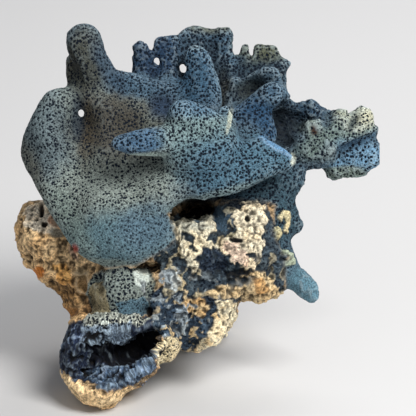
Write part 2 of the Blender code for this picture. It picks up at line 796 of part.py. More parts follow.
def main():
    clear_scene()
    colony = fused_colony()
    stand_up(colony)
    colony = with_windows(cut_flat(faceted(colony, COLONY_TRIANGLES)))
    origin = middle_of_cut(colony)
    for name, mesh in parted(colony):
        finished(name, mesh, origin)


main()
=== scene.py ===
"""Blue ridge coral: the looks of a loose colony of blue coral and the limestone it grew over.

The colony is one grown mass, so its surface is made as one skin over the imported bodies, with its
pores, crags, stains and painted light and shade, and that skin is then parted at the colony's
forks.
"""

import math

import bmesh
import bpy
import numpy as np
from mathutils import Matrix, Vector


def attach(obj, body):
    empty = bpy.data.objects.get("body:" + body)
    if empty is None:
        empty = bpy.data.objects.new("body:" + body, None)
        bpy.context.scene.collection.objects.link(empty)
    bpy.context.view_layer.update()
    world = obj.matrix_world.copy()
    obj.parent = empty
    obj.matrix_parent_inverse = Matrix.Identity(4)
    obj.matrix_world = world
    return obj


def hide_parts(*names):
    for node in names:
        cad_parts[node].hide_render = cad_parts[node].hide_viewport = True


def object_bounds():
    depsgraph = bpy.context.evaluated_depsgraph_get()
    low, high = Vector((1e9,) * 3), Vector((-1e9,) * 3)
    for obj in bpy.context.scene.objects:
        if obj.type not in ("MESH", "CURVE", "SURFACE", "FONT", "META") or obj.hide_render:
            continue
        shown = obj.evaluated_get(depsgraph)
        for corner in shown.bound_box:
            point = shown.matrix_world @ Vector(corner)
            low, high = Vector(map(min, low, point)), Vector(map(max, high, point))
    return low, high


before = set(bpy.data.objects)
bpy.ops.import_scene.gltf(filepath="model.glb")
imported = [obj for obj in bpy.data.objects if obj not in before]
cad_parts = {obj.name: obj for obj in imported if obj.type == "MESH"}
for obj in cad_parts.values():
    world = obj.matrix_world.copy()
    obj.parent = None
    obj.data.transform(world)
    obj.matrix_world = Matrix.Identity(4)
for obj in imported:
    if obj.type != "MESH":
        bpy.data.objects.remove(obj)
cad_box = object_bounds()


# The head's skin. The real colony is one piece of blue aragonite, grown in lobes and fingers
# over a lump of dead reef, so no seam shows anywhere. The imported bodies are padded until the
# gaps between them close, fused, softened and divided finely enough for pores of a millimetre.
SKIN_CELL = 0.0012
PADDING = 0.00025
SOFTENING = 4


def points_of(mesh):
    """All the mesh's vertex places as one array."""
    points = np.empty(len(mesh.vertices) * 3, np.float32)
    mesh.vertices.foreach_get("co", points)
    return points.reshape(-1, 3).astype(np.float64)


def normals_of(mesh):
    """All the mesh's vertex normals as one array."""
    normals = np.empty(len(mesh.vertices) * 3, np.float32)
    mesh.vertices.foreach_get("normal", normals)
    return normals.reshape(-1, 3).astype(np.float64)


def set_points(mesh, points):
    mesh.vertices.foreach_set("co", points.astype(np.float32).ravel())
    mesh.update()


def add_object(name, mesh):
    obj = bpy.data.objects.new(name, mesh)
    bpy.context.scene.collection.objects.link(obj)
    return obj


def evaluated(obj):
    """The mesh that the object's modifiers make, in place of the object."""
    graph = bpy.context.evaluated_depsgraph_get()
    mesh = bpy.data.meshes.new_from_object(obj.evaluated_get(graph))
    bpy.data.objects.remove(obj)
    return mesh


def padded_copies(nodes, padding):
    """Copies of the bodies with their loose triangles merged, each point moved out along its
    normal by the padding, all in one mesh."""
    shape = bmesh.new()
    for node in nodes:
        body = bmesh.new()
        body.from_mesh(node.data)
        bmesh.ops.remove_doubles(body, verts=body.verts, dist=0.000005)
        copy = bpy.data.meshes.new("copy")
        body.to_mesh(copy)
        body.free()
        set_points(copy, points_of(copy) + normals_of(copy) * padding)
        shape.from_mesh(copy)
        bpy.data.meshes.remove(copy)
    whole = bpy.data.meshes.new("bodies")
    shape.to_mesh(whole)
    shape.free()
    return whole


def edges_of(mesh):
    """All the mesh's edges as pairs of vertex numbers."""
    ends = np.empty(len(mesh.edges) * 2, np.int32)
    mesh.edges.foreach_get("vertices", ends)
    return ends.reshape(-1, 2)


CRUMB = 50


def without_crumbs(mesh):
    """Deletes the connected bodies of fewer points than a crumb. Each vertex takes the lowest
    number that it shares an edge with, and then that vertex's own lowest, until nothing changes."""
    first, second = edges_of(mesh).T
    lowest = np.arange(len(mesh.vertices))
    changed = True
    while changed:
        before = lowest.copy()
        np.minimum.at(lowest, first, before[second])
        np.minimum.at(lowest, second, before[first])
        lowest = lowest[lowest]
        changed = (lowest != before).any()
    stray = np.flatnonzero(np.bincount(lowest)[lowest] < CRUMB)
    body = bmesh.new()
    body.from_mesh(mesh)
    body.verts.ensure_lookup_table()
    bmesh.ops.delete(body, geom=[body.verts[i] for i in stray], context="VERTS")
    body.to_mesh(mesh)
    body.free()


# The face chart. The colony's face leans back, so marks are placed on a chart of it as seen
# square on: across to the right and down from the top, in half millimetres, with depth in
# millimetres away from the viewer.
LEAN = math.radians(20.0)
CHART_ZERO = np.array([-1.523, 34.666, 6.0])
CHART_MIDDLE, CHART_FOOT = 200.0, 400.0


def chart_of(points):
    """Each place in metres as chart across, chart down and depth."""
    across, back, height = (points * 1000.0 + CHART_ZERO).T
    up = height * math.cos(LEAN) + back * math.sin(LEAN)
    depth = back * math.cos(LEAN) - height * math.sin(LEAN)
    return CHART_MIDDLE + 2 * across, CHART_FOOT - 2 * up, depth


def toward_viewer(vectors):
    """How far each normal points out of the chart, from -1 to 1."""
    return vectors[:, 2] * math.sin(LEAN) - vectors[:, 1] * math.cos(LEAN)


def prism(outline, near, far, slope=0.0):
    """A prism over a chart outline from the near depth to the far one. The slope is how much
    deeper its far side lies for each millimetre up the face."""
    corners = np.array(outline, float)
    x0, y0 = corners.T
    x1, y1 = np.roll(corners, -1, axis=0).T
    if (x0 * y1 - x1 * y0).sum() > 0:
        corners = corners[::-1]
    across = (corners[:, 0] - CHART_MIDDLE) / 2
    up = (CHART_FOOT - corners[:, 1]) / 2
    rings = []
    for depth in (np.full(len(corners), float(near)), far + slope * up):
        back = depth * math.cos(LEAN) + up * math.sin(LEAN)
        height = up * math.cos(LEAN) - depth * math.sin(LEAN)
        rings.append((np.column_stack([across, back, height]) - CHART_ZERO) / 1000.0)
    count = len(corners)
    sides = [(i, count + i, count + (i + 1) % count, (i + 1) % count) for i in range(count)]
    faces = [tuple(range(count)), tuple(range(2 * count - 1, count - 1, -1)), *sides]
    mesh = bpy.data.meshes.new("prism")
    mesh.from_pydata(np.concatenate(rings).tolist(), [], faces)
    marked = mesh.attributes.new("cut_face", "BOOLEAN", "FACE")
    marked.data.foreach_set("value", [True] * len(faces))
    return mesh


def combined(mesh, tool, operation):
    """The mesh with the tool's shape taken from it or kept from it."""
    body, cutter = add_object("body", mesh), add_object("cutter", tool)
    step = body.modifiers.new("Cut", "BOOLEAN")
    step.operation = operation
    step.solver = "MANIFOLD"
    step.object = cutter
    result = evaluated(body)
    bpy.data.objects.remove(cutter)
    return result


# The openings. Two small windows between the fingers and one at the shield's corner go right
# through, and narrow clefts part the tips of the fingers and of the crest.
def oval(x, y, wide, tall, lean, sides=14):
    """An oval outline whose foot leans to the right by the given share of its height."""
    turns = np.linspace(0.0, 2.0 * math.pi, sides, endpoint=False)
    down = tall * np.sin(turns)
    return np.column_stack([x + wide * np.cos(turns) + lean * down, y + down])


OPENINGS = (
    oval(81.3, 113.2, 3.7, 5.4, 0.15),
    oval(156.7, 61.1, 3.9, 5.2, 0.25),
    oval(182.8, 67.6, 3.8, 5.2, 0.15),
    [(142, 20), (157, 20), (154, 38), (153.5, 48), (150.5, 55), (147.5, 49), (146.5, 38)],
    [(230, 20), (245, 20), (241.5, 38), (241, 50), (238.5, 56), (236, 50), (235, 38)],
    [(247, 20), (259, 20), (255.2, 40), (255.2, 52), (252.4, 60), (249.6, 52), (249.6, 40)],
)
OPENING_NEAR, OPENING_FAR = -14, 60


def remeshed(mesh, cell):
    """One closed surface of square cells around all that the mesh holds."""
    obj = add_object("skin", mesh)
    fuse = obj.modifiers.new("Fuse", "REMESH")
    fuse.mode = "VOXEL"
    fuse.voxel_size = cell
    return evaluated(obj)


def skin_over(mesh, cell, passes):
    """One closed skin around the mesh with its openings cut, softened and divided once more."""
    fused = remeshed(mesh, cell)
    for outline in OPENINGS:
        fused = combined(fused, prism(outline, OPENING_NEAR, OPENING_FAR), "DIFFERENCE")
    fused = remeshed(fused, cell)
    without_crumbs(fused)
    obj = add_object("skin", fused)
    soften = obj.modifiers.new("Soften", "SMOOTH")
    soften.factor = 0.5
    soften.iterations = passes
    divide = obj.modifiers.new("Divide", "SUBSURF")
    divide.levels = divide.render_levels = 1
    return evaluated(obj)


skin = skin_over(padded_copies(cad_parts.values(), PADDING), SKIN_CELL, SOFTENING)
places = points_of(skin)
normals = normals_of(skin)
edges = edges_of(skin)
chart_x, chart_y, chart_depth = chart_of(places)
facing = toward_viewer(normals)


# Noise for what has no regular shape, such as the crags of the old reef rock and the ragged
# borders of its crusts: fixed random values on a lattice of cells, the same in each run.
def lattice(cells, seed):
    """A fixed random value from 0 to 1 for each whole-number cell: its three numbers are
    multiplied by large primes, mixed, and their bits folded over one another."""
    x, y, z = (cells[:, axis].astype(np.int64).astype(np.uint32) for axis in range(3))
    value = (x * np.uint32(73856093)) ^ (y * np.uint32(19349663)) ^ (z * np.uint32(83492791))
    value ^= np.uint32((seed * 2654435761) % 2**32)
    for shift, factor in ((16, 0x7FEB352D), (15, 0x846CA68B)):
        value ^= value >> np.uint32(shift)
        value *= np.uint32(factor)
    value ^= value >> np.uint32(16)
    return value / 2.0**32


def rolling(points, size, seed):
    """Smooth noise from 0 to 1: lattice values at the eight corners of each point's cell of the
    given size in millimetres, blended by the eased share of the way across."""
    at = points * (1000.0 / size) + seed * 7.31
    cell = np.floor(at)
    share = at - cell
    share = share * share * (3.0 - 2.0 * share)
    total = np.zeros(len(points))
    for corner in range(8):
        offset = np.array([corner & 1, corner >> 1 & 1, corner >> 2 & 1])
        weight = np.where(offset, share, 1.0 - share).prod(axis=1)
        total += weight * lattice(cell + offset, seed)
    return total


def layered(points, size, layers, seed, folded=False):
    """Rolling noise in layers, each half as large and half as strong as the one before."""
    strengths = 0.5 ** np.arange(layers)
    sheets = np.array([rolling(points, size * s, seed + i) for i, s in enumerate(strengths)])
    if folded:
        sheets = 1.0 - np.abs(2.0 * sheets - 1.0)
    return (strengths[:, None] * sheets).sum(axis=0) / strengths.sum()


def ridged(points, size, layers, seed):
    """Layered noise folded at its middle, which leaves sharp crests at 1 and hollows near 0."""
    return layered(points, size, layers, seed, folded=True)


def nearest_seed(points, size, seed):
    """The distance from each point to the nearest of one random point per cell, in cells."""
    at = points * (1000.0 / size)
    cell = np.floor(at)
    nearest = np.full(len(points), 9.0)
    for index in range(27):
        beside = cell + np.array([index % 3 - 1, index // 3 % 3 - 1, index // 9 - 1])
        seeds = beside + np.column_stack([lattice(beside, seed + k) for k in range(3)])
        nearest = np.minimum(nearest, ((at - seeds) ** 2).sum(axis=1))
    return np.sqrt(nearest)


def eased(low, high, values):
    """From 0 at the low value to 1 at the high one, or the other way round, eased at both ends."""
    share = np.clip((values - low) / (high - low), 0.0, 1.0)
    return share * share * (3.0 - 2.0 * share)


def evened(values, passes):
    """Values averaged with their neighbours' along the skin's edges, the given number of times."""
    count = np.bincount(edges.ravel(), minlength=len(values))
    for _ in range(passes):
        total = np.bincount(edges[:, 0], values[edges[:, 1]], len(values))
        total += np.bincount(edges[:, 1], values[edges[:, 0]], len(values))
        values = 0.5 * values + 0.5 * total / count
    return values


# How far patterns drift off their place, in metres, and how ragged borders wander, in waves of
# 9 and 2.8 mm.
drift = np.column_stack([layered(places, 3.0, 2, seed) for seed in (61, 63, 65)]) * 0.0036
drifted = places + drift
wobble, wobble_down = (
    layered(places, 9.0, 3, broad) - 0.5 + 0.8 * (layered(places, 2.8, 2, fine) - 0.5)
    for broad, fine in ((41, 71), (47, 73))
)


def at_depths(near, far, soft):
    """1 between the two depths, fading over the soft distance in millimetres at each."""
    share = eased(near - soft, near + soft, chart_depth)
    return share * eased(far + soft, far - soft, chart_depth)


def patch(x, y, wide, tall, turn=0.0, ragged=0.5, soft=0.25, near=-99.0, far=99.0):
    """How far each point lies in an oval on the face of the chart, from 0 to 1. The oval is
    turned clockwise in degrees, its border wanders by the ragged share and fades over the soft
    share of its size, and only what faces the viewer between the two depths takes it."""
    angle = math.radians(turn)
    right, down = chart_x - x, chart_y - y
    along = (right * math.cos(angle) + down * math.sin(angle)) / wide
    over = (down * math.cos(angle) - right * math.sin(angle)) / tall
    reach = np.hypot(along + ragged * wobble, over + ragged * wobble_down)
    cover = eased(1.0 + soft, 1.0 - soft, reach) * eased(-0.35, 0.15, facing)
    return cover * at_depths(near, far, 1.5)


def inside(outline, wander=0.0):
    """The distance of each point of the skin inside a closed outline on the chart, below zero
    outside: the distance to the nearest side, with its sign from how many sides a line to the
    right crosses. The outline wanders by up to the given chart units."""
    points_x, points_y = chart_x + wander * wobble, chart_y + wander * wobble_down
    corners = np.array(outline, float)
    after = np.roll(corners, -1, axis=0)
    distance = np.full(len(points_x), 1e9)
    crossings = np.zeros(len(points_x), bool)
    for (x0, y0), (x1, y1) in zip(corners, after):
        along_x, along_y = x1 - x0, y1 - y0
        share = ((points_x - x0) * along_x + (points_y - y0) * along_y) / (along_x**2 + along_y**2)
        share = np.clip(share, 0.0, 1.0)
        off = np.hypot(points_x - x0 - share * along_x, points_y - y0 - share * along_y)
        distance = np.minimum(distance, off)
        if y0 != y1:
            spans = (y0 > points_y) != (y1 > points_y)
            crossings ^= spans & (points_x < x0 + (points_y - y0) * along_x / along_y)
    return np.where(crossings, distance, -distance)


# What each part of the skin is. The plates and fingers are living-grown blue coral; below them
# lies old limestone, with a broken, fibrous blue face in the foot's hollow.
SHIELD_FOOT = [
    (0, 160), (24, 178), (42, 208), (66, 246), (84, 264), (112, 268), (136, 265), (170, 246),
    (177, 236), (168, 214), (200, 199), (242, 196), (242, 0), (0, 0),
]
KNOB_SIDE = [
    (232, 160), (244, 196), (258, 196), (276, 204), (272, 232), (282, 254), (300, 262),
    (320, 240), (320, 160),
]
LOW_FINGER = [(284, 262), (296, 254), (336, 290), (316, 318), (286, 290)]
ROCK_TOP = 196.0, 206.0
SHIELD_BACK, SHIELD_BACK_SLOPE = -51.6, 0.21
shield_back = SHIELD_BACK + SHIELD_BACK_SLOPE * (CHART_FOOT - chart_y)
plate_face = eased(-1.0, 3.0, inside(SHIELD_FOOT)) * eased(1.5, -1.5, chart_depth - shield_back)
knob_side = eased(-3.0, 3.0, inside(KNOB_SIDE, 6.0)) * eased(20.0, 12.0, chart_depth)
low_finger = eased(-3.0, 3.0, inside(LOW_FINGER))
stone = eased(*ROCK_TOP, chart_y + 8.0 * wobble)
stone = stone * (1.0 - plate_face) * (1.0 - knob_side) * (1.0 - low_finger)


# The face's colours and kinds of surface, from the outside in. A mark gives its colour as a
# screen shows it, then the oval that it fills, and what its surface is: how open its pores are
# and how craggy it is, where that differs from what lies under it.
def screen(red, green, blue):
    """A colour given as a screen shows it, 0 to 255, as amounts of light."""
    share = np.array([red, green, blue]) / 255.0
    return np.where(share <= 0.04045, share / 12.92, ((share + 0.055) / 1.055) ** 2.4)


def blend_into(values, target, cover):
    """The values moved toward the target by the cover, in place."""
    shaped = cover if values.ndim == 1 else cover[:, None]
    values += (target - values) * shaped


BROAD_PASSES = 70
broad_middle = np.column_stack([evened(places[:, axis], BROAD_PASSES) for axis in range(3)])
stands_out = ((places - broad_middle) * normals).sum(axis=1) * 1000.0
crag = stone.copy()
open_pores = 1.0 - stone
rise = np.zeros(len(places))
CORAL_BLUE = screen(74, 94, 108)
LIMESTONE = screen(150, 128, 98)
tone = CORAL_BLUE + (LIMESTONE - CORAL_BLUE) * stone[:, None]
grown = 1.0 - stone


def paint(cover, colour, pores, crags, lift):
    """Gives the covered skin the colour and, where they are given, the pores and crags, and
    lifts it by up to the given millimetres."""
    blend_into(tone, screen(*colour), cover)
    if pores is not None:
        blend_into(open_pores, pores, cover)
    if crags is not None:
        blend_into(crag, crags, cover)
    rise[:] += lift * cover


def mark(colour, *where, over=grown, strength=1.0, pores=None, crags=None, lift=0.0, **oval):
    """Paints an oval over the coral or, where over says so, the stone."""
    paint(strength * patch(*where, **oval) * over, colour, pores, crags, lift)


def crust(
    colour, outline, over=stone, wander=7.0, pores=None, crags=None, lift=0.0, near=-99.0, far=99.0
):
    """Paints what lies inside an outline whose border wanders by up to the given chart units."""
    cover = eased(-1.0, 1.0, inside(outline, wander)) * eased(-0.7, -0.3, facing) * over
    paint(cover * at_depths(near, far, 1.0), colour, pores, crags, lift)


def scattered(colour, size, seed, share, middle, crags=None, lift=0.0):
    """Paints bits of one colour all over an oval of stone: where layered noise of the size in
    millimetres is higher than a limit that falls as the share grows."""
    bits = eased(-0.025, 0.025, layered(drifted, size, 3, seed) - (0.78 - 0.56 * share))
    paint(bits * patch(*middle, ragged=0.3) * stone, colour, 0.0, crags, lift)


# The shield is greenish grey, bluer on its wing, along its top ridge and at its foot, where its
# pores are fine and close. Painted shade darkens its hollow, the groove down its wing and the
# recess between its top ridge, the knuckle and the thumb; its left rim is browner with a painted
# warm reflection, and a painted pale reflection lies under the lower rim of its lobes.
mark((126, 136, 130), 100, 170, 90, 95, ragged=0.2, soft=0.3, pores=1.0)
mark((96, 110, 114), 45, 140, 30, 42, ragged=0.3, soft=0.4, pores=1.1)
# painted warm reflection on the left rim
mark((84, 82, 70), 30, 170, 12, 30, -20, ragged=0.3, soft=0.5, strength=0.7)
# painted shade in the hollow, down the wing's groove and round its window
mark((62, 58, 50), 114, 128, 44, 36, soft=0.6, strength=0.95)
mark((74, 66, 52), 86, 122, 8, 42, soft=0.6, strength=0.8)
mark((48, 60, 70), 78, 116, 7, 26, ragged=0.4, soft=0.5, strength=0.8)
mark((86, 112, 120), 112, 240, 62, 28, -10, ragged=0.3, soft=0.5, pores=0.75)
mark((80, 104, 118), 148, 226, 34, 22, -20, ragged=0.3, soft=0.5, strength=0.9, pores=0.85)
mark((112, 128, 122), 76, 228, 12, 40, -25, ragged=0.4, soft=0.6, strength=0.7)
# painted pale reflection under the lower rim of the lobes
mark((124, 136, 128), 104, 262, 34, 4, 4, ragged=0.4, soft=0.6, strength=0.7)
mark((66, 90, 108), 140, 84, 42, 14, 8, ragged=0.4, soft=0.5, pores=1.2)
# painted shade in the recess between the top ridge, the knuckle and the thumb
mark((30, 48, 70), 163, 106, 15, 13, 30, ragged=0.4, soft=0.5, strength=0.95)
# The horn is grey on its face and blue along its right side, with a fold of painted shade down its
# left side; its small mate behind it is browner, darkened with painted shade.
mark((71, 74, 67), 84, 60, 22, 34, ragged=0.3, soft=0.4, pores=1.1)
mark((52, 72, 90), 108, 68, 10, 30, -28, ragged=0.4, soft=0.5, strength=0.8)
# painted shade in the fold between the horn and its mate, and on the mate
mark((34, 36, 30), 74, 62, 3, 18, -24, ragged=0.3, soft=0.8, strength=0.9, lift=-1.2)
mark((66, 64, 50), 70, 66, 5, 22, ragged=0.4, soft=0.5, near=-2, strength=0.8)
# The finger across the shield is blue above, and pale under its rim with painted reflected light.
mark((66, 96, 122), 142, 142, 32, 13, -8, ragged=0.2, soft=0.3, far=-30, pores=1.3)
# painted reflected light under the finger's rim
mark((150, 166, 160), 146, 157, 26, 3, -2, ragged=0.3, soft=0.6, far=-28, pores=0.5)
# The knuckle is pale blue with a greenish face, and a pale broken edge behind it.
mark((112, 134, 136), 200, 140, 36, 34, ragged=0.3, soft=0.4, far=-20, pores=1.3)
mark((84, 114, 134), 196, 108, 32, 11, ragged=0.3, soft=0.5, far=-20, pores=1.4)
mark((126, 144, 142), 202, 170, 36, 8, -8, soft=0.6, far=-20, strength=0.7)
mark((160, 168, 156), 230, 118, 2.5, 13, 12, ragged=1.0, soft=0.3, pores=0.3, crags=0.6)
# The lower plate is deep blue, pale along its lower rim with painted reflected light, with a flat
# broken end.
mark((74, 106, 124), 240, 168, 60, 34, ragged=0.3, soft=0.4, far=-8, pores=1.3)
# painted reflected light along the lower rim
mark((116, 134, 134), 222, 193, 60, 4, -16, ragged=0.4, soft=0.7, far=-8, strength=0.8)
FACET = [(256, 138), (264, 134), (296, 152), (295, 164), (288, 158), (272, 150)]
crust((82, 122, 156), FACET, grown, 3.0, pores=0.5, lift=0.7, far=-8)
mark((176, 180, 166), 293, 160, 3, 6, ragged=0.9, soft=0.3, pores=0.3)
# Plates behind: the middle plate and cup are a deep blue, with painted shade down in the cup and
# beside it.
mark((38, 69, 96), 256, 124, 26, 26, ragged=0.3, soft=0.4, near=-14, far=6, pores=1.3)
# painted shade down in the cup
mark((40, 46, 44), 250, 90, 20, 11, soft=0.6, near=2, strength=0.9, lift=-1.5)
mark((62, 88, 108), 276, 92, 14, 14, ragged=0.3, soft=0.4, far=4, pores=1.3)
# Thumb and the fingers behind it; the thumb has painted highlights on its top and along its right
# edge.
mark((54, 84, 106), 200, 70, 24, 36, ragged=0.3, soft=0.4, far=8, pores=1.3)
# painted highlights on the thumb's top and right edge
mark((100, 122, 132), 196, 45, 15, 5, ragged=0.4, soft=0.7, far=9, strength=0.8)
mark((96, 120, 136), 214, 68, 3, 18, -14, ragged=0.4, soft=0.8, far=9, strength=0.8)
mark((34, 56, 80), 152, 56, 30, 28, ragged=0.3, soft=0.4, near=6, pores=1.2)
# The crest is blue below and tan toward its tips, with a furrow of painted shade between its two
# blades and a painted shadow on it round the thumb.
mark((66, 92, 112), 210, 56, 32, 34, ragged=0.3, soft=0.4, near=8, pores=1.5)
# painted shade in the furrow, and painted shadow on the crest round the thumb
mark((46, 48, 44), 222, 84, 8, 22, 8, ragged=0.6, soft=0.6, near=2, lift=-1.5)
mark((34, 44, 50), 201, 68, 22, 34, ragged=0.3, soft=0.5, near=9, strength=0.7, lift=-1.0)
mark((92, 92, 70), 212, 25, 34, 7, ragged=0.8, soft=0.6, near=10, strength=0.7)
mark((40, 58, 70), 262, 72, 34, 14, ragged=0.4, soft=0.5, near=10, pores=1.4)
mark((76, 78, 56), 268, 46, 34, 14, ragged=0.7, soft=0.6, near=10, strength=0.9, pores=1.2)
# The arm: a grey-green branch with a rough yellowish tip over a deep blue hanging plate. Painted
# shade lies in the recess by its root and in the grooves between its knobs, and the branch's shadow
# is painted on the hanging plate.
mark((48, 70, 88), 318, 112, 36, 16, 26, ragged=0.3, soft=0.4, near=4, pores=1.2)
# painted shade in the recess by the arm's root
mark((26, 36, 44), 285, 126, 15, 22, ragged=0.3, soft=0.5, near=2, lift=-2.5)
mark((100, 116, 112), 338, 136, 44, 17, -24, ragged=0.3, soft=0.3, far=26, pores=1.1)
mark((178, 184, 172), 362, 120, 16, 11, ragged=0.9, soft=0.4, strength=0.8, crags=0.5)
mark((104, 140, 166), 356, 156, 30, 16, ragged=0.4, soft=0.4, far=30, pores=1.2)
mark((118, 130, 122), 312, 127, 9, 8, lift=2.0, ragged=0.3, soft=0.8)
mark((154, 160, 142), 342, 116, 7, 9, lift=2.2, ragged=0.3, soft=0.8)
mark((178, 180, 158), 364, 118, 9, 8, lift=1.6, ragged=0.3, soft=0.8)
mark((112, 126, 126), 330, 152, 9, 8, lift=1.6, ragged=0.3, soft=0.8)
mark((64, 40, 26), 314, 131, 3, 4, soft=0.5, far=26)
# painted shade in the grooves between the knobs, and the branch's painted shadow on the hanging
# plate
mark((66, 84, 92), 328, 119, 4, 10, 12, lift=-2.2, ragged=0.3, soft=0.9)
mark((84, 96, 96), 353, 122, 4, 9, 20, lift=-1.8, ragged=0.3, soft=0.9)
mark((46, 72, 94), 356, 144, 24, 4, -24, lift=-2.0, ragged=0.3, soft=0.8)
mark((92, 100, 92), 346, 171, 14, 5, -8, lift=0.8, ragged=0.4, soft=0.7)
mark((116, 130, 122), 346, 174, 26, 7, soft=0.5, far=30)
# The knobbly side and the low finger, with crumbs of cream crust between them.
mark((52, 76, 88), 276, 210, 34, 40, ragged=0.4, soft=0.4, pores=1.2)
mark((84, 116, 130), 304, 288, 20, 26, ragged=0.3, soft=0.4, pores=0.35)
CREAM_RING = [
    (276, 218), (282, 210), (290, 212), (290, 224), (286, 234), (282, 232), (286, 222),
    (283, 217), (280, 222),
]
crust((196, 186, 150), CREAM_RING, grown, 3.0, pores=0.2, crags=0.8, lift=0.8)
crust((170, 164, 130), [
    (268, 232), (276, 226), (281, 234), (276, 242), (270, 239),
], grown, 4.0, pores=0.2, crags=0.8, lift=0.8)
COLLAR = [
    (264, 250), (276, 246), (292, 254), (294, 264), (284, 266), (278, 290), (270, 286),
    (272, 262),
]
crust((164, 174, 150), COLLAR, grown, 4.0, pores=0.2, crags=0.8, lift=0.8)

# The left shoulder of the rock: tan and finely porous, grey-white on top, with ochre and, as
# painted shade, orange in its hollows, a pit of painted shade, a ringed barnacle scar and a spot of
# red crust by the shield.
TAN = dict(over=stone, pores=0.0)
mark((190, 162, 122), 62, 262, 66, 66, **TAN)
crust((196, 186, 168), [
    (26, 210), (40, 204), (58, 208), (62, 222), (52, 236), (40, 234), (28, 226),
], lift=0.6)
mark((168, 126, 96), 59, 221, 8, 6, ragged=0.9, **TAN)
mark((140, 134, 118), 57, 233, 7, 5, crags=0.3, lift=0.6, **TAN)
mark((44, 30, 18), 42, 212, 3, 5, ragged=0.8, lift=-2.0, **TAN)
mark((44, 30, 18), 46, 225, 4, 3, ragged=0.8, lift=-1.6, **TAN)
# orange painted shade in a hollow
mark((190, 118, 50), 40, 271, 6, 6, ragged=0.9, crags=0.6, **TAN)
crust((196, 152, 92), [(54, 266), (66, 262), (74, 272), (70, 286), (58, 282)], wander=9.0)
crust((84, 76, 60), [(48, 280), (60, 282), (74, 290), (72, 302), (58, 300)], wander=9.0, lift=-0.8)
# orange painted shade in a hollow
mark((176, 116, 52), 70, 311, 9, 5, ragged=0.9, crags=0.6, **TAN)
mark((156, 138, 106), 84, 281, 9, 12, ragged=0.7, crags=0.6, lift=1.2, **TAN)
mark((122, 104, 76), 84, 282, 5, 7, ragged=0.7, crags=0.4, lift=-1.6, **TAN)
# painted shade in a pit
mark((22, 16, 10), 100, 278, 5, 6, 20, ragged=0.6, lift=-2.2, **TAN)
mark((206, 174, 146), 75, 253, 3, 8, -30, ragged=0.7, **TAN)
mark((142, 58, 44), 77, 248, 3, 5, ragged=0.8, soft=0.5, over=1.0)
mark((154, 118, 72), 66, 296, 26, 18, ragged=0.6, soft=0.6, strength=0.7, **TAN)
mark((166, 132, 92), 94, 300, 10, 18, ragged=0.6, soft=0.5, **TAN)
# The dome under the shield: a pale smooth lump with a net of large pores and a white scar.
crust((118, 128, 122), [
    (86, 292), (96, 272), (118, 266), (148, 266), (156, 284), (148, 312), (96, 318),
], wander=4.0, pores=1.35, crags=0.2)
crust((150, 140, 110), [
    (88, 290), (98, 280), (108, 290), (112, 314), (96, 318),
], wander=6.0, pores=0.5, crags=0.3)
crust((84, 112, 126), [
    (116, 300), (146, 296), (150, 312), (122, 318),
], wander=6.0, pores=0.8, crags=0.1)
crust((190, 200, 192), [
    (134, 270), (146, 266), (150, 278), (146, 288), (136, 286),
], wander=5.0, pores=0.0, crags=0.3, lift=0.5)
# The middle of the rock: crusts of cream and grey over dark blue pitted coral.
PITTED = dict(pores=1.2, crags=0.5)
crust((56, 70, 80), [
    (150, 250), (176, 214), (262, 196), (286, 260), (282, 300), (230, 300), (180, 300),
], pores=0.8, crags=0.7)
crust((50, 66, 82), [
    (152, 292), (176, 286), (184, 300), (180, 326), (158, 326), (148, 310),
], **PITTED)
crust((52, 72, 88), [
    (196, 214), (216, 208), (232, 214), (240, 222), (224, 232), (206, 226),
], pores=0.4, crags=0.2)
crust((30, 38, 46), [(228, 202), (248, 198), (254, 206), (240, 214), (230, 212)], **PITTED)
scattered((150, 142, 118), 5.0, 101, 0.33, (214, 268, 66, 60), crags=1.0, lift=0.6)
CREAM = dict(pores=0.0, crags=1.0, wander=11.0)
LEFT_CRUST = [
    (176, 222), (195, 219), (214, 220), (217, 231), (204, 237), (220, 247), (204, 262), (195, 274),
    (187, 262), (184, 250), (176, 237), (171, 227),
]
RIGHT_CRUST = [
    (234, 215), (246, 205), (258, 200), (265, 208), (262, 235), (262, 260), (250, 272), (230, 262),
    (220, 245), (230, 237), (241, 233), (237, 221),
]
crust((198, 192, 170), LEFT_CRUST, lift=0.7, **CREAM)
crust((170, 170, 156), [
    (176, 222), (195, 219), (214, 220), (214, 230), (196, 233), (180, 234),
], lift=0.2, **CREAM)
crust((200, 190, 166), RIGHT_CRUST, lift=0.8, **CREAM)
crust((202, 180, 160), [
    (224, 244), (240, 240), (248, 256), (244, 268), (230, 260),
], lift=0.1, **CREAM)
crust((184, 194, 196), [
    (166, 276), (178, 272), (184, 282), (176, 292), (168, 290),
], lift=0.5, **CREAM)
crust((28, 42, 60), [
    (202, 246), (218, 248), (228, 262), (222, 274), (204, 272), (197, 258),
], **PITTED)
crust((46, 60, 72), [(196, 276), (220, 272), (240, 274), (232, 286), (206, 288)], **PITTED)
# painted shade in the hollow above the ledge and in a pit
crust((22, 24, 26), [(222, 272), (240, 268), (250, 274), (242, 282), (226, 282)], lift=-2.0)
mark((26, 24, 24), 247, 219, 2.5, 3.5, over=stone, lift=-2.0)
mark((30, 32, 38), 236, 240, 6, 2.5, 10, over=stone, ragged=0.9, lift=-1.2)
LEDGE = [
    (208, 292), (228, 284), (246, 278), (252, 270), (264, 272), (274, 284), (282, 292), (272, 299),
    (254, 302), (236, 297), (220, 302), (210, 300),
]
crust((184, 164, 128), LEDGE, lift=0.9, **CREAM)
crust((166, 132, 88), [(250, 276), (262, 278), (270, 288), (258, 292)], **CREAM)
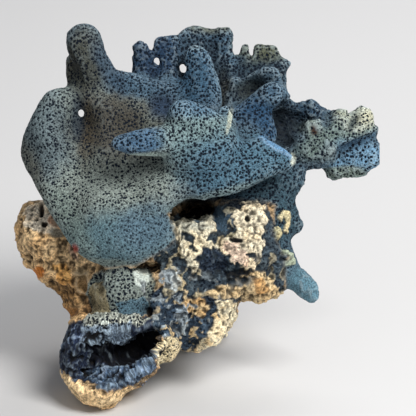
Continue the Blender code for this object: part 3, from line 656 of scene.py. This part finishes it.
# The column under it: pitted blue, with tan crumbs and a cream right side.
crust((50, 68, 86), [
    (150, 300), (180, 296), (236, 298), (232, 330), (214, 350), (180, 348), (150, 326),
], pores=0.8, crags=0.7)
crust((180, 152, 110), [
    (182, 298), (200, 297), (209, 308), (203, 316), (192, 309), (184, 313),
], lift=0.6, **CREAM)
crust((150, 166, 178), [
    (177, 306), (184, 302), (187, 320), (184, 334), (178, 332),
], lift=0.5, **CREAM)
RIM = [
    (216, 299), (232, 300), (233, 314), (226, 332), (214, 344), (196, 352), (190, 347),
    (207, 338), (215, 322), (219, 310),
]
crust((204, 194, 166), RIM, lift=0.6, **CREAM)
mark((40, 24, 14), 150, 311, 3, 4, over=stone, lift=-1.8)
scattered((38, 50, 60), 4.5, 107, 0.26, (214, 250, 50, 44), crags=0.5, lift=-0.8)
scattered((176, 158, 124), 3.6, 113, 0.26, (196, 318, 44, 34), crags=1.0, lift=0.4)
scattered((128, 138, 144), 4.0, 119, 0.26, (176, 304, 44, 36), crags=0.8, lift=0.2)
# The foot: a broken face of dark blue fibres round a deep hollow, which is painted near black as
# shade, with a pale porous rim above, tan rock below and a cream speckled knob at its right.
FOOT_FACE = [
    (56, 328), (84, 318), (148, 314), (160, 330), (156, 356), (134, 378), (100, 386), (54, 372),
]
crust((24, 34, 54), FOOT_FACE, pores=0.0, crags=0.35)
crust((150, 156, 148), [
    (84, 318), (100, 312), (140, 313), (150, 318), (140, 324), (112, 325), (90, 326),
], pores=1.2, crags=0.6, lift=0.8)
crust((104, 120, 136), [
    (84, 324), (130, 322), (132, 334), (120, 346), (86, 344),
], crags=0.3, lift=0.5)
crust((62, 80, 102), [
    (78, 372), (100, 366), (128, 364), (152, 354), (154, 366), (134, 382), (98, 388),
], crags=0.3, lift=1.0)
scattered((104, 120, 142), 3.2, 131, 0.30, (104, 376, 56, 12), lift=0.4)
scattered((84, 98, 120), 3.2, 139, 0.24, (78, 340, 24, 20), lift=0.4)
# painted shade: near-black bits between the fibres and the deep hollow
scattered((10, 13, 20), 4.2, 137, 0.34, (106, 350, 56, 34), lift=-1.6)
crust((9, 14, 26), [
    (84, 344), (124, 346), (140, 332), (160, 330), (158, 350), (130, 362), (96, 366),
], wander=14.0, crags=0.5, lift=-4.0)
crust((224, 196, 152), [
    (60, 368), (84, 384), (104, 390), (134, 382), (140, 400), (100, 412), (60, 400),
], pores=0.2, crags=0.8)
crust((206, 192, 156), [
    (156, 344), (168, 336), (180, 340), (178, 352), (166, 366), (156, 364),
], pores=0.9, crags=0.4, lift=0.4)


# Painted highlight and shade. Rims and ridges are painted pale as highlights, and folds and hollows
# are darkened as painted shade: the tone changes by how many millimetres the skin stands out from
# the broad shape under it.
rim_highlight = 0.50 * eased(0.15, 1.1, stands_out)
hollow_shade = 0.62 * eased(-0.10, -1.1, stands_out)
tone *= (1.0 + rim_highlight - hollow_shade)[:, None]
VALUES = {}


def add_values(mesh, name, values):
    """One number or colour for each vertex, kept in the mesh under a name for its material."""
    VALUES[name] = 1 if values.ndim == 1 else 3
    kind, field = ("FLOAT", "value") if values.ndim == 1 else ("FLOAT_VECTOR", "vector")
    attribute = mesh.attributes.new(name, kind, "POINT")
    attribute.data.foreach_set(field, values.astype(np.float32).ravel())


# Pores. Each polyp left a round pit about a millimetre wide, two millimetres from the next, and
# the walls between them are full of far finer ones.
PORES = dict(spacing=0.0015, nudged=0.0010, varied=0.2)
FINE_PITS = dict(spacing=0.0008, nudged=0.0005, varied=0.3)
STONE_PITS = dict(spacing=0.0014, nudged=0.0022, varied=0.5)
PORE_DEPTH = 0.0005
WIDENING = 0.16


def node_in(tree, kind, place=(0, 0), **settings):
    node = tree.nodes.new(kind)
    node.location = place
    for key, value in settings.items():
        setattr(node, key, value)
    return node


def pit_distance(tree, place, spacing, nudged, varied):
    """Nodes that give the distance to the nearest pit's middle in spacings, less a random share
    of varied, so that the pits differ in size. The place is nudged by noise first, by up to half
    of nudged in metres, so that they aren't quite round."""
    nudge = node_in(tree, "ShaderNodeTexNoise")
    nudge.inputs["Scale"].default_value = 620.0
    nudge.inputs["Detail"].default_value = 1.0
    tree.links.new(place, nudge.inputs["Vector"])
    shift = node_in(tree, "ShaderNodeVectorMath", operation="MULTIPLY_ADD")
    shift.inputs[1].default_value = (nudged, nudged, nudged)
    tree.links.new(nudge.outputs["Color"], shift.inputs[0])
    tree.links.new(place, shift.inputs[2])
    cells = node_in(tree, "ShaderNodeTexVoronoi", feature="F1")
    cells.inputs["Scale"].default_value = 1.0 / spacing
    cells.inputs["Randomness"].default_value = 0.85
    tree.links.new(shift.outputs[0], cells.inputs["Vector"])
    share = node_in(tree, "ShaderNodeVectorMath", operation="DOT_PRODUCT")
    share.inputs[1].default_value = (varied, 0.0, 0.0)
    tree.links.new(cells.outputs["Color"], share.inputs[0])
    less = node_in(tree, "ShaderNodeMath", operation="SUBTRACT")
    tree.links.new(cells.outputs["Distance"], less.inputs[0])
    tree.links.new(share.outputs["Value"], less.inputs[1])
    return less.outputs[0]


def with_pores(mesh):
    """The mesh with each vertex's distance to its nearest pore kept as pore_distance."""
    tree = bpy.data.node_groups.new("pore distance", "GeometryNodeTree")
    tree.interface.new_socket("Skin", in_out="INPUT", socket_type="NodeSocketGeometry")
    tree.interface.new_socket("Skin", in_out="OUTPUT", socket_type="NodeSocketGeometry")
    given = node_in(tree, "NodeGroupInput")
    result = node_in(tree, "NodeGroupOutput")
    place = node_in(tree, "GeometryNodeInputPosition")
    store = node_in(tree, "GeometryNodeStoreNamedAttribute", data_type="FLOAT", domain="POINT")
    store.inputs["Name"].default_value = "pore_distance"
    tree.links.new(given.outputs[0], store.inputs["Geometry"])
    distances = pit_distance(tree, place.outputs[0], **PORES)
    tree.links.new(distances, store.inputs["Value"])
    tree.links.new(store.outputs[0], result.inputs[0])
    obj = add_object("skin", mesh)
    obj.modifiers.new("Pores", "NODES").node_group = tree
    return evaluated(obj)


# Knobs. The back of the colony and its arm are knobblier than the shield and the lobes in front.
rough_growth = 0.25 + 1.0 * eased(-8.0, 8.0, chart_depth)
rough_growth = np.maximum(rough_growth, 2.5 * eased(290.0, 305.0, chart_x))


# Relief. Limestone is craggy and pitted at every scale; the coral keeps its grown smoothness.
# The foot's broken face has fibres that fan out downwards.
# Heights and the sizes of the noise are in millimetres.
crags = 3.6 * (ridged(drifted, 13.0, 2, 3) - 0.62) + 2.2 * (ridged(drifted, 5.2, 2, 5) - 0.58)
crags += 0.9 * (ridged(places, 2.3, 2, 9) - 0.55)
lumps = 1.5 * (layered(drifted, 8.0, 2, 83) - 0.5) + 0.8 * (ridged(drifted, 4.5, 2, 89) - 0.55)
wide_pits = eased(0.40, 0.18, nearest_seed(drifted, 5.6, 11))
wide_pits *= eased(0.5, 0.62, rolling(places, 15.0, 13))
small_pits = eased(0.44, 0.20, nearest_seed(drifted, 2.7, 17))
small_pits *= eased(0.35, 0.6, rolling(places, 8.0, 19))
pits = 1.5 * wide_pits + 0.5 * small_pits

FIBRE_MIDDLE = (114.0, 230.0)
out_x, out_y = chart_x - FIBRE_MIDDLE[0], chart_y - FIBRE_MIDDLE[1]
turn = np.arctan2(out_y, out_x)
outward = np.hypot(out_x, out_y)
fibre_place = np.column_stack([turn * 0.060, outward * 0.00012, chart_depth * 0.0002])
fibre_place += 0.6 * drift
fibrous = patch(112, 350, 56, 38, ragged=0.2) * stone
fibres = ridged(fibre_place, 1.5, 2, 29) - 0.5
lift = crag * (crags - pits) + rough_growth * (1.0 - crag) * lumps
lift = (lift + rise + 1.3 * fibrous * fibres) * 0.001


skin = with_pores(skin)
distance = np.empty(len(skin.vertices), np.float32)
skin.attributes["pore_distance"].data.foreach_get("value", distance)
skin.attributes.remove(skin.attributes["pore_distance"])
pore = eased(0.35, 0.15, distance - WIDENING * (open_pores - 1.0)) * np.minimum(open_pores, 1.0)
lift -= PORE_DEPTH * pore

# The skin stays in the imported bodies' box, and what lay on the flat cut stays flat.
CUT_HEIGHT = 0.0004
moved = places + normals * lift[:, None]
moved = np.clip(moved, *(np.array(corner) for corner in cad_box))
moved[places[:, 2] < CUT_HEIGHT, 2] = 0.0
set_points(skin, moved)
for name, values in (
    ("rest_place", places), ("tone", tone), ("open_pores", open_pores), ("stone", crag),
    ("fibrous", fibrous), ("fibre_place", fibre_place),
):
    add_values(skin, name, values)


def ridges(points, passes, height):
    """How far each point stands out from the even surface around it, from -1 to 1: its offset
    from its neighbours' average over the given number of passes, over the height in metres."""
    middle = np.column_stack([evened(points[:, axis], passes) for axis in range(3)])
    return np.clip(((points - middle) * normals_of(skin)).sum(axis=1) / height, -1.0, 1.0)


RIDGE_PASSES, RIDGE_HEIGHT = 14, 0.0003
CRUMB_PASSES, CRUMB_HEIGHT = 3, 0.00016
add_values(skin, "ridge", evened(ridges(moved, RIDGE_PASSES, RIDGE_HEIGHT), 2))
add_values(skin, "crumb", ridges(moved, CRUMB_PASSES, CRUMB_HEIGHT))


# The surface: dull porous skeleton and crumbling limestone. Coral and stone share one pattern,
# so that nothing changes where the pieces meet.
# Near-black painted shade inside the coral's pores and fine pits, and inside the stone's pits.
PORE_SHADE = (0.0025, 0.007, 0.016)
PIT_SHADE = (0.030, 0.022, 0.014)


def surface_group():
    """Colour, roughness and height of the colony's surface from the values kept in its mesh."""
    tree = bpy.data.node_groups.new("grown surface", "ShaderNodeTree")
    sockets = (
        ("Place", "NodeSocketVector"), ("Tone", "NodeSocketColor"), ("Pores", "NodeSocketFloat"),
        ("Stone", "NodeSocketFloat"), ("Ridge", "NodeSocketFloat"), ("Crumb", "NodeSocketFloat"),
        ("Fibrous", "NodeSocketFloat"), ("Fibre Place", "NodeSocketVector"),
    )
    for name, kind in sockets:
        tree.interface.new_socket(name, in_out="INPUT", socket_type=kind)
    tree.interface.new_socket("Color", in_out="OUTPUT", socket_type="NodeSocketColor")
    for name in ("Roughness", "Height"):
        tree.interface.new_socket(name, in_out="OUTPUT", socket_type="NodeSocketFloat")
    given = node_in(tree, "NodeGroupInput")
    result = node_in(tree, "NodeGroupOutput")
    link = tree.links.new

    def noise(scale, detail, place="Place"):
        node = node_in(tree, "ShaderNodeTexNoise")
        node.inputs["Scale"].default_value = scale
        node.inputs["Detail"].default_value = detail
        node.inputs["Roughness"].default_value = 0.6
        link(given.outputs[place], node.inputs["Vector"])
        return node.outputs["Fac"]

    def ramp(value, low_in, high_in, low_out=0.0, high_out=1.0):
        node = node_in(tree, "ShaderNodeMapRange", interpolation_type="SMOOTHSTEP")
        for index, number in enumerate((low_in, high_in, low_out, high_out), start=1):
            node.inputs[index].default_value = number
        link(value, node.inputs[0])
        return node.outputs[0]

    def math_of(operation, first, second):
        node = node_in(tree, "ShaderNodeMath", operation=operation)
        for socket, value in zip(node.inputs, (first, second)):
            if isinstance(value, (int, float)):
                socket.default_value = value
            else:
                link(value, socket)
        return node.outputs[0]

    def mixed(share, first, second, blend="MIX"):
        node = node_in(tree, "ShaderNodeMix", data_type="RGBA", blend_type=blend)
        for index, value in ((0, share), (6, first), (7, second)):
            if isinstance(value, (int, float)):
                node.inputs[index].default_value = value
            elif isinstance(value, tuple):
                node.inputs[index].default_value = (*value, 1.0)
            else:
                link(value, node.inputs[index])
        return node.outputs[2]

    # Coral: speckled walls with a painted highlight along ridges, round it the pores and the fine
    # pits, darkened with painted shade.
    open_share = math_of("MINIMUM", given.outputs["Pores"], 1.0)
    wider = math_of("MULTIPLY", math_of("SUBTRACT", given.outputs["Pores"], 1.0), WIDENING)
    pores = pit_distance(tree, given.outputs["Place"], **PORES)
    pores = math_of("MULTIPLY", ramp(math_of("SUBTRACT", pores, wider), 0.33, 0.19), open_share)
    fine = ramp(pit_distance(tree, given.outputs["Place"], **FINE_PITS), 0.30, 0.04)
    fine = math_of("MULTIPLY", math_of("MULTIPLY", fine, open_share), 0.8)
    walls = ramp(noise(1300.0, 3.0), 0.34, 0.66, 0.55, 1.5)
    coral = mixed(1.0, given.outputs["Tone"], walls, "MULTIPLY")
    # painted highlight along the ridges
    ridge_highlight = math_of("MULTIPLY", ramp(given.outputs["Ridge"], 0.15, 1.0), 0.35)
    coral = mixed(ridge_highlight, coral, (0.34, 0.42, 0.45))
    # Stone: painted shade in its crevices, painted highlight and shade on its crumbs, warmer and
    # cooler in turn, and pitted, with painted shade in the pits.
    warm = mixed(1.0, given.outputs["Tone"], (1.12, 0.97, 0.80), "MULTIPLY")
    stone_tone = mixed(ramp(noise(110.0, 4.0), 0.42, 0.62, 0.0, 0.6), given.outputs["Tone"], warm)
    grain = ramp(noise(900.0, 6.0), 0.38, 0.62, 0.62, 1.35)
    # painted shade in crevices, and painted highlight and shade on the crumbs
    crevice_shade = ramp(given.outputs["Ridge"], -0.9, 0.5, 0.22, 1.2)
    crumbs = ramp(given.outputs["Crumb"], -0.9, 0.9, 0.72, 1.15)
    stone_grain_and_shade = stone_tone
    for shade in (grain, crevice_shade, crumbs):
        stone_grain_and_shade = mixed(1.0, stone_grain_and_shade, shade, "MULTIPLY")
    holes = ramp(pit_distance(tree, given.outputs["Place"], **STONE_PITS), 0.0, -0.16)
    stone_grain_and_shade = mixed(math_of("MULTIPLY", holes, 0.55), stone_grain_and_shade, PIT_SHADE)
    wall = mixed(given.outputs["Stone"], coral, stone_grain_and_shade)
    # The foot's broken fibres: bright crests and dark gaps that run with them.
    strands = ramp(noise(1300.0, 5.0, "Fibre Place"), 0.36, 0.66, 0.35, 2.0)
    wall = mixed(given.outputs["Fibrous"], wall, mixed(1.0, wall, strands, "MULTIPLY"))
    # painted shade in the fine pits and the pores
    colour = mixed(fine, wall, mixed(0.8, wall, PORE_SHADE))
    colour = mixed(pores, colour, PORE_SHADE)
    link(colour, result.inputs["Color"])
    link(math_of("ADD", 0.78, math_of("MULTIPLY", pores, 0.12)), result.inputs["Roughness"])
    sunk = math_of("ADD", pores, math_of("MULTIPLY", fine, 0.5))
    link(math_of("SUBTRACT", noise(1400.0, 3.0), sunk), result.inputs["Height"])
    return tree


SURFACE = surface_group()


def grown_material(name, bump):
    """A matte skeleton surface; bump is how far its pattern stands up, in metres."""
    material = bpy.data.materials.new(name)
    material.use_nodes = True
    tree = material.node_tree
    shader = tree.nodes["Principled BSDF"]
    shader.inputs["Specular IOR Level"].default_value = 0.25
    group = node_in(tree, "ShaderNodeGroup", (-500, 0))
    group.node_tree = SURFACE
    for socket, attribute, output in (
        ("Place", "rest_place", "Vector"), ("Tone", "tone", "Color"),
        ("Pores", "open_pores", "Fac"), ("Stone", "stone", "Fac"),
        ("Ridge", "ridge", "Fac"), ("Crumb", "crumb", "Fac"),
        ("Fibrous", "fibrous", "Fac"), ("Fibre Place", "fibre_place", "Vector"),
    ):
        source = node_in(tree, "ShaderNodeAttribute", (-800, 0), attribute_name=attribute)
        tree.links.new(source.outputs[output], group.inputs[socket])
    relief = node_in(tree, "ShaderNodeBump", (-250, -200))
    relief.inputs["Strength"].default_value = 0.6
    relief.inputs["Distance"].default_value = bump
    tree.links.new(group.outputs["Color"], shader.inputs["Base Color"])
    tree.links.new(group.outputs["Roughness"], shader.inputs["Roughness"])
    tree.links.new(group.outputs["Height"], relief.inputs["Height"])
    tree.links.new(relief.outputs["Normal"], shader.inputs["Normal"])
    return material


# The pieces. The real head has no joints, but it is kept in pieces that end at its main forks.
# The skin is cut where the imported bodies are, with no gap, and each cut is closed flat.
def parted(whole, outline, near, far, slope=0.0):
    """What of the skin lies in the prism, and the rest of it."""
    kept = combined(whole.copy(), prism(outline, near, far, slope), "INTERSECT")
    return kept, combined(whole, prism(outline, near, far, slope), "DIFFERENCE")


def mended(mesh):
    """Gives the points that a cut has added the values of their neighbours: each value is the
    average of those beside it that are known, until no more are found."""
    ends = edges_of(mesh)
    ends = np.concatenate([ends, ends[:, ::-1]])
    kept = {}
    for name, width in VALUES.items():
        values = np.empty(len(mesh.vertices) * width, np.float32)
        mesh.attributes[name].data.foreach_get("value" if width == 1 else "vector", values)
        kept[name] = values.reshape(-1, width).astype(np.float64)
    known = kept["tone"].sum(axis=1) > 0.0
    found = known
    while found.any():
        weight = np.bincount(ends[:, 0], known[ends[:, 1]], len(known))
        found = ~known & (weight > 0)
        for values in kept.values():
            for column in values.T:
                total = np.bincount(ends[:, 0], column[ends[:, 1]] * known[ends[:, 1]], len(known))
                column[found] = total[found] / weight[found]
        known |= found
    for name, values in kept.items():
        mesh.attributes.remove(mesh.attributes[name])
        add_values(mesh, name, values[:, 0] if values.shape[1] == 1 else values)


def grown_piece(name, mesh, material, slot, *nodes):
    """A finished piece in place of its bodies: smooth over the skin, flat and sharp-edged at its
    cuts."""
    without_crumbs(mesh)
    mended(mesh)
    mesh.name = name
    mesh.materials.clear()
    mesh.materials.append(material)
    cut = np.zeros(len(mesh.polygons), bool)
    if "cut_face" in mesh.attributes:
        mesh.attributes["cut_face"].data.foreach_get("value", cut)
    mesh.polygons.foreach_set("use_smooth", ~cut)
    piece = add_object(name, mesh)
    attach(piece, "root")
    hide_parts(*nodes)
    return piece


FINISHES = {
    "grey_blue": grown_material("grey-blue coral", 0.0004),
    "deep_blue": grown_material("deep blue coral", 0.0004),
    "tan_tips": grown_material("tan-tipped coral", 0.0004),
}
LIMESTONE_FINISH = grown_material("limestone", 0.0005)
SHIELD = [
    (4, 164), (24, 180), (42, 210), (66, 246), (84, 265), (112, 270), (136, 270), (174, 258),
    (179, 238), (170, 214), (200, 202), (241.6, 196), (241.6, 64), (4, 64),
]
# Each piece of coral: its body, its finish, the near and far depths (and the far side's slope)
# and the outline of the prism that parts it from what is left.
FORKS = (
    ("left_horn", "grey_blue", (-40, 18), [(32, 86), (116, 78), (116, 16), (32, 16)]),
    ("cross_finger", "grey_blue", (-70, -31.5), [(80, 170), (162, 170), (162, 118), (80, 118)]),
    ("knuckle_lobe", "grey_blue", (-70, -25.5), [
        (162.6, 168), (180, 186), (216, 188), (242, 174), (242, 96), (162.6, 96),
    ]),
    ("lower_plate", "deep_blue", (-60, -11), [
        (242.8, 204), (304, 204), (304, 128), (252, 128), (242.8, 148),
    ]),
    ("thumb", "deep_blue", (-14, 9.5), [(178, 86), (220, 86), (220, 36), (178, 36)]),
    ("back_fingers", "deep_blue", (2, 40), [(120, 80), (178, 80), (178, 24), (120, 24)]),
    ("crest_plate", "deep_blue", (9, 40), [(178.8, 80), (240, 80), (240, 12), (178.8, 12)]),
    ("crest_fingers", "tan_tips", (14, 40), [(240.8, 72), (300, 72), (300, 32), (240.8, 32)]),
    ("right_arm", "tan_tips", (-40, 60), [
        (302, 172), (320, 192), (396, 192), (396, 80), (302, 80),
    ]),
    ("low_finger", "deep_blue", (-20, 20), [(286, 244), (266, 288), (312, 320), (344, 284)]),
    ("right_knobs", "deep_blue", (-30, 30), [
        (274, 252), (320, 260), (318, 192), (301.2, 172), (274, 172),
    ]),
    ("middle_plate", "deep_blue", (-18, -1.4), [
        (242.8, 146), (280, 148), (294, 108), (294, 76), (242.8, 80),
    ]),
    ("cup_plate", "deep_blue", (-1, 13.6), [(220, 104), (301.2, 112), (301.2, 56), (220, 64)]),
    ("front_plate", "grey_blue", (-60, SHIELD_BACK, 2 * SHIELD_BACK_SLOPE), SHIELD),
    ("rear_growth", "deep_blue", (-80, 120), [(-20, 198), (340, 198), (340, 0), (-20, 0)]),
)
rest = skin
for body, finish, depths, outline in FORKS:
    piece, rest = parted(rest, outline, *depths)
    name = body.removesuffix("_lobe") + "_skin"
    grown_piece(name, piece, FINISHES[finish], "coral_" + finish, body)

# The limestone is parted once more into a front and a rear piece, to keep each one light.
LIMESTONE_HALF = [(-20, 420), (400, 420), (400, 0), (-20, 0)]
front, rear = parted(rest, LIMESTONE_HALF, -90, 8)
grown_piece("limestone_front_skin", front, LIMESTONE_FINISH, "limestone", "limestone_base")
grown_piece("limestone_rear_skin", rear, LIMESTONE_FINISH, "limestone", "limestone_base")


# The studio: a pale sweep, a large soft lamp from the upper right and a weaker one from the
# left, with the camera square to the colony's face.
TARGET = Vector((0.005523, -0.001832, 0.08421))
CAMERA_DISTANCE = 2.5
METRES_PER_PIXEL = 0.0005
PICTURE_WIDTH = 416
SENSOR = 36.0


def sweep(name, width, front, back, rise, height):
    """A floor that curves up into a backdrop: a line from the front to the back, a quarter
    circle of the rise, then straight up, repeated at both ends of the width."""
    turn = np.linspace(0.0, math.pi / 2, 17)
    y = np.concatenate([[front], back + rise * np.sin(turn), [back + rise]])
    z = np.concatenate([[0.0], rise * (1 - np.cos(turn)), [height]])
    count = len(y)
    rows = np.array([[x, b, c] for x in (-width, width) for b, c in zip(y, z)])
    faces = [(i, count + i, count + i + 1, i + 1) for i in range(count - 1)]
    mesh = bpy.data.meshes.new(name)
    mesh.from_pydata(rows.tolist(), [], faces)
    mesh.polygons.foreach_set("use_smooth", np.ones(len(faces), bool))
    return add_object(name, mesh)


floor = sweep("floor", 4.0, -4.0, 4.0, 1.0, 4.0)
paper = bpy.data.materials.new("pale paper")
paper.use_nodes = True
matte = paper.node_tree.nodes["Principled BSDF"]
matte.inputs["Base Color"].default_value = (0.62, 0.62, 0.625, 1.0)
matte.inputs["Roughness"].default_value = 0.9
floor.data.materials.append(paper)


def lamp(name, place, size, power, colour):
    """A square soft lamp that faces the colony."""
    light = bpy.data.lights.new(name, "AREA")
    light.size = size
    light.energy = power
    light.color = colour
    obj = bpy.data.objects.new(name, light)
    obj.location = place
    obj.rotation_euler = (TARGET - Vector(place)).to_track_quat("-Z", "Y").to_euler()
    bpy.context.scene.collection.objects.link(obj)


lamp("key", (0.55, -0.55, 1.0), 0.6, 17.0, (1.0, 0.985, 0.96))
lamp("back", (0.35, 0.75, 0.9), 0.6, 7.0, (1.0, 0.99, 0.98))
lamp("fill", (-0.9, -1.1, 0.35), 0.9, 2.2, (0.95, 0.97, 1.0))
world = bpy.data.worlds.new("studio")
world.use_nodes = True
glow = world.node_tree.nodes["Background"]
glow.inputs["Color"].default_value = (0.92, 0.95, 1.0, 1.0)
glow.inputs["Strength"].default_value = 0.26
bpy.context.scene.world = world

camera_data = bpy.data.cameras.new("camera")
camera_data.sensor_width = SENSOR
camera_data.lens = SENSOR * CAMERA_DISTANCE / (PICTURE_WIDTH * METRES_PER_PIXEL)
camera_data.clip_end = 20.0
camera = bpy.data.objects.new("camera", camera_data)
camera.location = TARGET + CAMERA_DISTANCE * Vector((0.0, -math.cos(LEAN), math.sin(LEAN)))
camera.rotation_euler = (math.pi / 2 - LEAN, 0.0, 0.0)
bpy.context.scene.collection.objects.link(camera)
bpy.context.scene.camera = camera
bpy.context.scene.view_settings.view_transform = "Standard"
